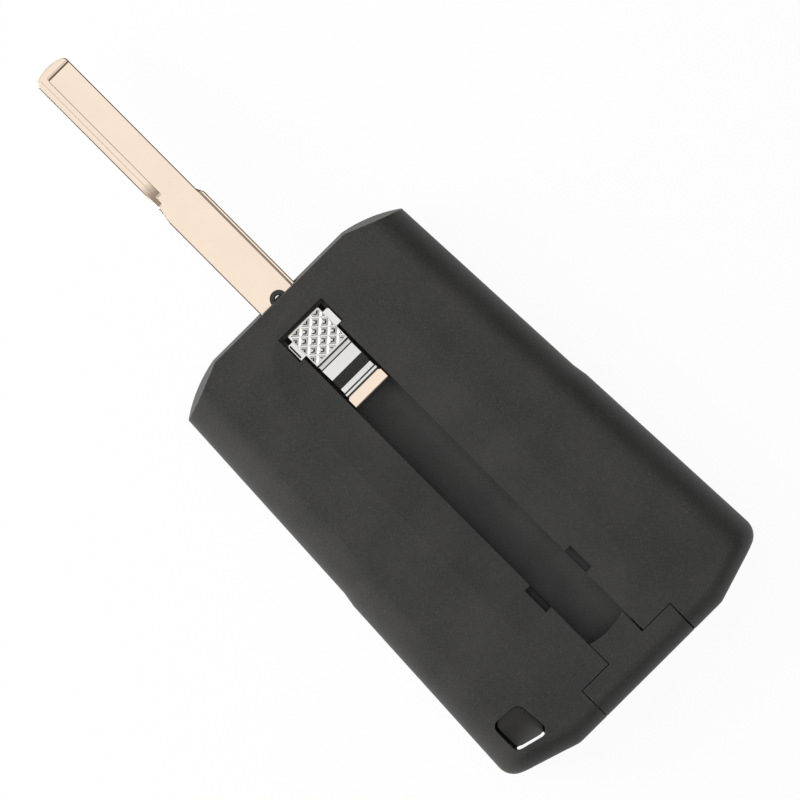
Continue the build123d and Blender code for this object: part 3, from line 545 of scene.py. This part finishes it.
def blade_surface():
    """Closed blade in millimetres: the top face from left to right, then the same face turned over, row by row."""
    near_end = np.array((*break_insets, *end_steps))
    rows = [side_rows, blade_tail + near_end, blade_tip - near_end[1:], np.linspace(ledge_start, tip_shelf, plain_rows)]
    rows += [np.linspace(start, start + arc_length(depth), arc_rows) for start, depth in (outer_run, inner_run)]
    rows += [(ledge_start + hair, ledge_end - hair, tip_shelf - riser_breaks[1], tip_shelf + hair)]
    rows += [blade_tip - tip_reach * (1.0 - np.sin(np.linspace(0.0, last_turn, tip_rows)))]
    y = np.unique(np.concatenate(rows).round(4))
    y = y[y < blade_tip - hair / 2]
    left, right = (np.interp(y, side_rows, side) for side in (left_side, right_side))
    tip_axis = (right_side[-1] - left_side[-1]) / 2
    top_x, top_z = blade_face(y, -left, right, tip_axis, True)
    under_x, under_z = blade_face(y, -right, left, -tip_axis, False)
    x = np.concatenate((top_x, -under_x), axis=1)
    z = np.concatenate((blade_top + top_z, blade_bottom - under_z), axis=1)
    points = np.stack((x, y[:, None] + 0.0 * x, z), axis=-1)
    grid = np.arange(x.size).reshape(x.shape)
    after = np.roll(grid, -1, axis=1)
    quads = np.stack((grid[:-1], after[:-1], after[1:], grid[1:]), axis=-1).reshape(-1, 4)
    return points.reshape(-1, 3), quads.tolist() + [grid[0, ::-1].tolist(), grid[-1].tolist()]


millimetre = 0.001
merge_distance = 0.0000002
sliver_length = 0.0000001


def closed_mesh(name, points, faces):
    """Mesh from millimetre points, with doubled points merged."""
    mesh = bpy.data.meshes.new(name)
    mesh.from_pydata(points * millimetre, [], faces)
    shape = bmesh.new()
    shape.from_mesh(mesh)
    bmesh.ops.remove_doubles(shape, verts=shape.verts, dist=merge_distance)
    bmesh.ops.dissolve_degenerate(shape, edges=shape.edges, dist=sliver_length)
    bmesh.ops.triangulate(shape, faces=[f for f in shape.faces if len(f.verts) > 4])
    shape.to_mesh(mesh)
    shape.free()
    return mesh


drill_sides = 64


def drilled(mesh, holes):
    """Copy of a mesh with round holes drilled in it: centre x and y, radius, lower and upper end, in millimetres."""
    shape = bmesh.new()
    for x, y, radius, low, high in holes:
        place = np.eye(4)
        place[:3, 3] = millimetre * np.array((x, y, (low + high) / 2))
        bmesh.ops.create_cone(
            shape,
            cap_ends=True,
            segments=drill_sides,
            radius1=millimetre * radius,
            radius2=millimetre * radius,
            depth=millimetre * (high - low),
            matrix=Matrix(place.tolist()),
        )
    drill_mesh = bpy.data.meshes.new(mesh.name + "_drill")
    shape.to_mesh(drill_mesh)
    shape.free()
    solid, drill = (bpy.data.objects.new(m.name, m) for m in (mesh, drill_mesh))
    for thing in (solid, drill):
        scene.collection.objects.link(thing)
    cut = solid.modifiers.new("holes", "BOOLEAN")
    cut.operation = "DIFFERENCE"
    cut.solver = "EXACT"
    cut.object = drill
    finished = bpy.data.meshes.new_from_object(solid.evaluated_get(bpy.context.evaluated_depsgraph_get()))
    for thing in (solid, drill):
        bpy.data.objects.remove(thing)
    return finished


blade_sharp_angle = math.radians(8.0)
rivet_rows = (26.35, 23.45)
through, head_deep = (7.0, 11.0), (7.0, 8.15)
bush_hole = (-0.1, 40.0, 1.43, *through)
rivet_holes = [(0.0, row, 0.75, *through) for row in rivet_rows]
head_holes = [(0.0, row, 1.3, *head_deep) for row in rivet_rows]
blade_mesh = drilled(drilled(closed_mesh("blade_body", *blade_surface()), [bush_hole, *rivet_holes]), head_holes)
blade_mesh.set_sharp_from_angle(angle=blade_sharp_angle)
blade_mesh.materials.clear()
blade_mesh.materials.append(blade_finish)
blade = bpy.data.objects.new("blade_body", blade_mesh)
scene.collection.objects.link(blade)
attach(blade, "slider")
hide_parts("key_blade")

# Saddle: a die-cast and bright plated bridge, riveted on the blade's tail behind the lock button.
# The two grooves across it, its rear end and the gap beside the button's tongue are painted dark: painted shade.
saddle_lines = ((0.02845, 0.00012), (0.02762, 0.00007), (0.02264, 0.00009), (0.022, 0.00015))
painted_shade_edge, painted_shade_share = 0.00007, 0.95


def groove_painted_shade(x, y, z):
    """Painted shade in the grooves and at both ends."""
    first, second, third, fourth = (line(y, row, half, painted_shade_edge) for row, half in saddle_lines)
    return painted_shade_share * first.larger(second).larger(third).larger(fourth)


least_length = 0.000001
flat_angle, sharp_angle, smooth_angle = (math.radians(angle) for angle in (0.5, 30.0, 4.0))


def broken_edges(node, body, finish_block, cut, flatness, shortest, ceiling=1.0):
    """New piece with the faces of a CAD node, on which each sharp level edge over the shortest is cut back.

    The node's loose triangles are merged into flat faces, and anything above the ceiling is brought down to it.
    The cut is made on a copy stretched upwards by flatness, so that on the piece it takes cut off the flat face and
    cut / flatness off the wall below it.
    """
    shape = bmesh.new()
    shape.from_mesh(nodes[node].data)
    for vertex in shape.verts:
        vertex.co.z = min(vertex.co.z, ceiling)
    bmesh.ops.remove_doubles(shape, verts=shape.verts, dist=least_length)
    bmesh.ops.dissolve_limit(shape, angle_limit=flat_angle, verts=shape.verts, edges=shape.edges)
    bmesh.ops.scale(shape, vec=(1.0, 1.0, flatness), verts=shape.verts)
    sharp = [e for e in shape.edges if e.is_manifold and e.calc_face_angle_signed() > sharp_angle]
    level = [e for e in sharp if abs(e.verts[0].co.z - e.verts[1].co.z) < least_length and e.calc_length() > shortest]
    bmesh.ops.bevel(shape, geom=level, offset=cut, offset_type="OFFSET", segments=1, profile=0.5, affect="EDGES")
    bmesh.ops.scale(shape, vec=(1.0, 1.0, 1.0 / flatness), verts=shape.verts)
    mesh = bpy.data.meshes.new(node + "_eased")
    shape.to_mesh(mesh)
    shape.free()
    mesh.attributes.remove(mesh.attributes["custom_normal"])
    mesh.set_sharp_from_angle(angle=smooth_angle)
    mesh.materials.append(finish_block)
    piece = bpy.data.objects.new(node + "_eased", mesh)
    scene.collection.objects.link(piece)
    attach(piece, body)
    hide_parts(node)


even = (1.0, 1.0, 1.0)
saddle_finish = drawn_metal(
    "saddle_bright",
    (0.8, 0.785, 0.765),
    (0.77, 0.755, 0.735),
    dullness=0.12,
    mark_depth=0.0000003,
    along=even,
    shade_mask=groove_painted_shade,
)
broken_edges("slider_saddle", "slider", saddle_finish, cut=0.00002, flatness=1.0, shortest=0.0005)

# Lock button: die-cast and bright plated, and held up by a leaf spring. Its face is cast with crossed straps round
# stepped diamonds, and the slot in the left tab's top is painted dark: painted shade.
pad_top = 0.0115
pad_half = 0.00323
pad_ends = (0.0287, 0.0349)
pad_corner = 0.00035
face_rim = 0.00015
face_inset = 0.00002
face_seat = 0.00005
face_step = 0.000035
diamond_step = (0.00108, 0.00095)
diamond_shift = 0.00017
strap_half = 0.000125
riser_run = 0.00012
riser_height = 0.00008
tread_run = 0.00006
crown_run = 0.00031
crown_slope = 0.33
face_sharp_angle = math.radians(50.0)
slot_side = (-0.00402, 0.00013, 0.00003)
slot_rows = (0.0325, 0.0012, 0.00005)
tongue_line = (0.02845, 0.0001, 0.00008)


def tab_painted_shade(x, y, z):
    """Painted shade in the slot of the left tab, and on the tongue behind the pad."""
    return painted_shade_share * (line(x, *slot_side) * line(y, *slot_rows)).larger(line(y, *tongue_line))


button_finish = drawn_metal(
    "button_bright",
    (0.82, 0.805, 0.785),
    (0.78, 0.765, 0.745),
    dullness=0.15,
    mark_depth=0.0000005,
    along=even,
    shade_mask=tab_painted_shade,
)
seat = pad_top - face_seat
broken_edges("lock_button", "lock", button_finish, cut=0.00005, flatness=1.5, shortest=0.0022, ceiling=seat)


def diamond_face():
    """Closed slab over the pad's face.

    Its rows run across the pad, each as long as the outline with cut corners is there. A point's height comes from how
    far it is inside its diamond tile: 0 on the straps, then a sloped riser, a flat tread and a low crown. That depth
    is the tile's half width less the larger of the point's distances from the tile's two middle lines.
    """
    rows = np.arange(pad_ends[0] + face_inset, pad_ends[1] - face_inset, face_step)
    shares = np.linspace(-1.0, 1.0, int(2 * pad_half / face_step))
    from_end = np.minimum(rows - rows[0], rows[-1] - rows)
    half_widths = pad_half - face_inset - np.clip(pad_corner - from_end, 0.0, None)
    x = half_widths[:, None] * shares
    y = rows[:, None] + 0.0 * shares
    across = (x - diamond_shift) / diamond_step[0]
    along = (y - np.mean(pad_ends)) / diamond_step[1]
    off_first, off_second = (np.abs(t - 2.0 * np.floor(t / 2.0) - 1.0) for t in (across + along, across - along))
    tile_depth = diamond_step[0] * diamond_step[1] / math.hypot(*diamond_step)
    inwards = (1.0 - np.maximum(off_first, off_second)) * tile_depth - strap_half
    height = riser_height * np.clip(inwards / riser_run, 0.0, 1.0)
    height += crown_slope * np.clip(inwards - riser_run - tread_run, 0.0, crown_run)
    inside = np.minimum(half_widths[:, None] - np.abs(x), from_end[:, None])
    height *= np.clip((inside - face_rim) / face_step, 0.0, 1.0)
    top = np.stack((x, y, pad_top + height), axis=-1).reshape(-1, 3)
    grid = np.arange(len(top)).reshape(x.shape)
    border = np.concatenate((grid[0], grid[1:, -1], grid[-1, -2::-1], grid[-2:0:-1, 0]))
    under = top[border] - (0.0, 0.0, 2 * face_seat)
    lower = len(top) + np.arange(len(border))
    quads = np.stack((grid[:-1, :-1], grid[:-1, 1:], grid[1:, 1:], grid[1:, :-1]), axis=-1).reshape(-1, 4)
    walls = np.stack((np.roll(border, -1), border, lower, np.roll(lower, -1)), axis=-1)
    mesh = bpy.data.meshes.new("pad_face")
    mesh.from_pydata(np.concatenate((top, under)), [], quads.tolist() + walls.tolist() + [lower[::-1].tolist()])
    mesh.polygons.foreach_set("use_smooth", np.ones(len(mesh.polygons), dtype=bool))
    mesh.set_sharp_from_angle(angle=face_sharp_angle)
    return mesh


face_mesh = diamond_face()
face_mesh.materials.append(button_finish)
pad_face = bpy.data.objects.new("pad_face", face_mesh)
scene.collection.objects.link(pad_face)
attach(pad_face, "lock")

# Rivets, leaf spring and battery contacts: plain steel. The rivets hold the saddle on the blade, the leaf spring is
# bent from strip and lies under the lock button, and the contacts are pressed into the board tray.
steel_finish = drawn_metal(
    "plain_steel", (0.56, 0.56, 0.57), (0.5, 0.5, 0.5), dullness=0.32, mark_depth=0.0000008, along=even
)
give(steel_finish, "saddle_pins", "lock_spring", "battery_clip_plus", "battery_clip_minus")

# Screws: four small screws of blackened steel, which hold the slide tray to the back cover from inside.
screw_finish = drawn_metal(
    "black_steel", (0.12, 0.12, 0.125), (0.09, 0.09, 0.09), dullness=0.4, mark_depth=0.0000008, along=even
)
give(screw_finish, "tray_screws")

# Blade bush: a smooth black ring, turned from plastic rod and pressed into the blade's hole.
bush_finish = grained_plastic(
    "bush_gloss",
    (0.02, 0.02, 0.02),
    (0.03, 0.03, 0.03),
    grain_size=0.0003,
    grain_depth=0.000001,
    dullness=0.18,
    edge_radius=0.0001,
)
give(bush_finish, "blade_bush")

# Lamp lens: a short light guide, moulded in clear plastic and pressed into the front cover.
# A faint haze in it keeps it from being quite clear.
haze_size = 0.0006
lens_dark, lens_light = (0.72, 0.72, 0.69), (0.8, 0.8, 0.77)
lens_dullness, haze_dullness = 0.12, 0.1
lens_clearness = 0.6

lens_build = Finish(bpy.data.materials.new("lens_clear"))
lens_haze = lens_build.noise(lens_build.place(), haze_size)
lens_finish = lens_build.surface(
    Base_Color=lens_build.blend(lens_haze, lens_dark, lens_light),
    Roughness=lens_dullness + haze_dullness * lens_haze,
    Transmission_Weight=lens_clearness,
)
give(lens_finish, "lamp_lens")
